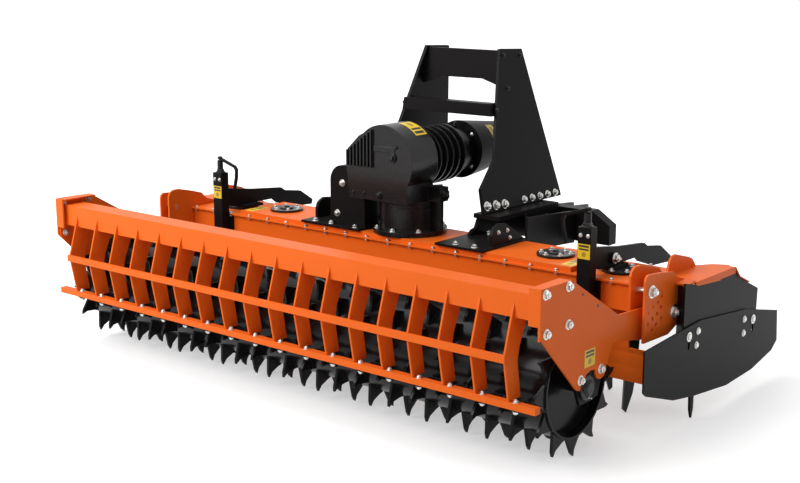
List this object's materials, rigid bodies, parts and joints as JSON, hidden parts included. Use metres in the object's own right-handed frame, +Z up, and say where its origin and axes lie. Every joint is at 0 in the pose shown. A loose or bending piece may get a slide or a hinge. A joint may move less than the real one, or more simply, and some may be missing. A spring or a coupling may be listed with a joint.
{
  "type": "power harrow with toothed packer roller",
  "caption": "Tractor-mounted vertical-axis power harrow: gear trough, finned gearbox, three-point headstock, tined rotors, toothed packer roller with scraper ribs and side deflectors.",
  "frame": {"origin": "on the ground, midway along and across the machine", "axes": "+X to the machine's right-hand side, +Y forward towards the tractor, +Z up"},
  "size_m": [2.872, 1.75, 1.3744],
  "materials": {
    "orange_paint": "gloss",
    "black_paint": "satin",
    "cast_black": "gloss",
    "zinc_steel": "satin",
    "bright_steel": "satin"
  },
  "bodies": {
    "frame": {"bearing_caps": "black_paint", "cranks": "black_paint", "deflector_brackets": "orange_paint", "deflector_uppers": "black_paint", "depth_pins": "zinc_steel", "foot_brackets": "black_paint", "gearbox_barrel": "cast_black", "gearbox_housing": "cast_black", "gearbox_stay": "black_paint", "gearbox_tower": "cast_black", "guides": "orange_paint", "headstock_crossbar": "black_paint", "headstock_plates": "black_paint", "headstock_top_beam": "black_paint", "hitch_beam": "black_paint", "lower_hitch_lugs": "black_paint", "post_arms": "black_paint", "posts": "black_paint", "pto_shield": "black_paint", "trough": "orange_paint", "trough_cover": "orange_paint"},
    "roller_frame": {"roller_arms": "orange_paint", "roller_bearings": "black_paint", "roller_beam": "orange_paint", "scraper_ribs": "orange_paint", "rib_tie": "orange_paint", "scraper_bar": "orange_paint", "scraper_blades": "black_paint"},
    "roller": {"roller": "black_paint"},
    "pto_shaft": {"pto_shaft": "bright_steel"},
    "levelling_bar": {"levelling_bar": "orange_paint"},
    "deflector_right": {"deflector_lower_right": "black_paint"},
    "deflector_left": {"deflector_lower_left": "black_paint"},
    "rotor_1": {"rotor_1": "black_paint"},
    "rotor_2": {"rotor_2": "black_paint"},
    "rotor_3": {"rotor_3": "black_paint"},
    "rotor_4": {"rotor_4": "black_paint"},
    "rotor_5": {"rotor_5": "black_paint"},
    "rotor_6": {"rotor_6": "black_paint"},
    "rotor_7": {"rotor_7": "black_paint"},
    "rotor_8": {"rotor_8": "black_paint"}
  },
  "joints": [
    {"name": "roller_arm_pivot", "type": "hinge", "parent": "frame", "child": "roller_frame", "pos_m": [0, 0.035, 0.443], "axis": [1, 0, 0], "range_deg": [-12, 3]},
    {"name": "roller_spin", "type": "hinge", "parent": "roller_frame", "child": "roller", "pos_m": [0, -0.526, 0.272], "axis": [1, 0, 0], "continuous": true},
    {"name": "levelling_bar_height", "type": "slide", "parent": "frame", "child": "levelling_bar", "axis": [0, 0, 1], "range_m": [-0.1, 0.01]},
    {"name": "deflector_right_height", "type": "slide", "parent": "frame", "child": "deflector_right", "axis": [0, 0, 1], "range_m": [0, 0.04]},
    {"name": "deflector_left_height", "type": "slide", "parent": "frame", "child": "deflector_left", "axis": [0, 0, 1], "range_m": [0, 0.04]},
    {"name": "pto_spin", "type": "hinge", "parent": "frame", "child": "pto_shaft", "pos_m": [0, 0.51, 0.9], "axis": [0, 1, 0], "continuous": true},
    {"name": "rotor_1_spin", "type": "hinge", "parent": "frame", "child": "rotor_1", "pos_m": [-1.09375, 0.11, 0.35], "axis": [0, 0, 1], "continuous": true},
    {"name": "rotor_2_spin", "type": "hinge", "parent": "frame", "child": "rotor_2", "pos_m": [-0.78125, 0.11, 0.35], "axis": [0, 0, 1], "continuous": true},
    {"name": "rotor_3_spin", "type": "hinge", "parent": "frame", "child": "rotor_3", "pos_m": [-0.46875, 0.11, 0.35], "axis": [0, 0, 1], "continuous": true},
    {"name": "rotor_4_spin", "type": "hinge", "parent": "frame", "child": "rotor_4", "pos_m": [-0.15625, 0.11, 0.35], "axis": [0, 0, 1], "continuous": true},
    {"name": "rotor_5_spin", "type": "hinge", "parent": "frame", "child": "rotor_5", "pos_m": [0.15625, 0.11, 0.35], "axis": [0, 0, 1], "continuous": true},
    {"name": "rotor_6_spin", "type": "hinge", "parent": "frame", "child": "rotor_6", "pos_m": [0.46875, 0.11, 0.35], "axis": [0, 0, 1], "continuous": true},
    {"name": "rotor_7_spin", "type": "hinge", "parent": "frame", "child": "rotor_7", "pos_m": [0.78125, 0.11, 0.35], "axis": [0, 0, 1], "continuous": true},
    {"name": "rotor_8_spin", "type": "hinge", "parent": "frame", "child": "rotor_8", "pos_m": [1.09375, 0.11, 0.35], "axis": [0, 0, 1], "continuous": true}
  ],
  "couplings": [
    {"joint": "rotor_2_spin", "follows": "rotor_1_spin", "ratio": -1},
    {"joint": "rotor_3_spin", "follows": "rotor_1_spin", "ratio": 1},
    {"joint": "rotor_4_spin", "follows": "rotor_1_spin", "ratio": -1},
    {"joint": "rotor_5_spin", "follows": "rotor_1_spin", "ratio": 1},
    {"joint": "rotor_6_spin", "follows": "rotor_1_spin", "ratio": -1},
    {"joint": "rotor_7_spin", "follows": "rotor_1_spin", "ratio": 1},
    {"joint": "rotor_8_spin", "follows": "rotor_1_spin", "ratio": -1},
    {"joint": "pto_spin", "follows": "rotor_1_spin", "ratio": 3}
  ]
}
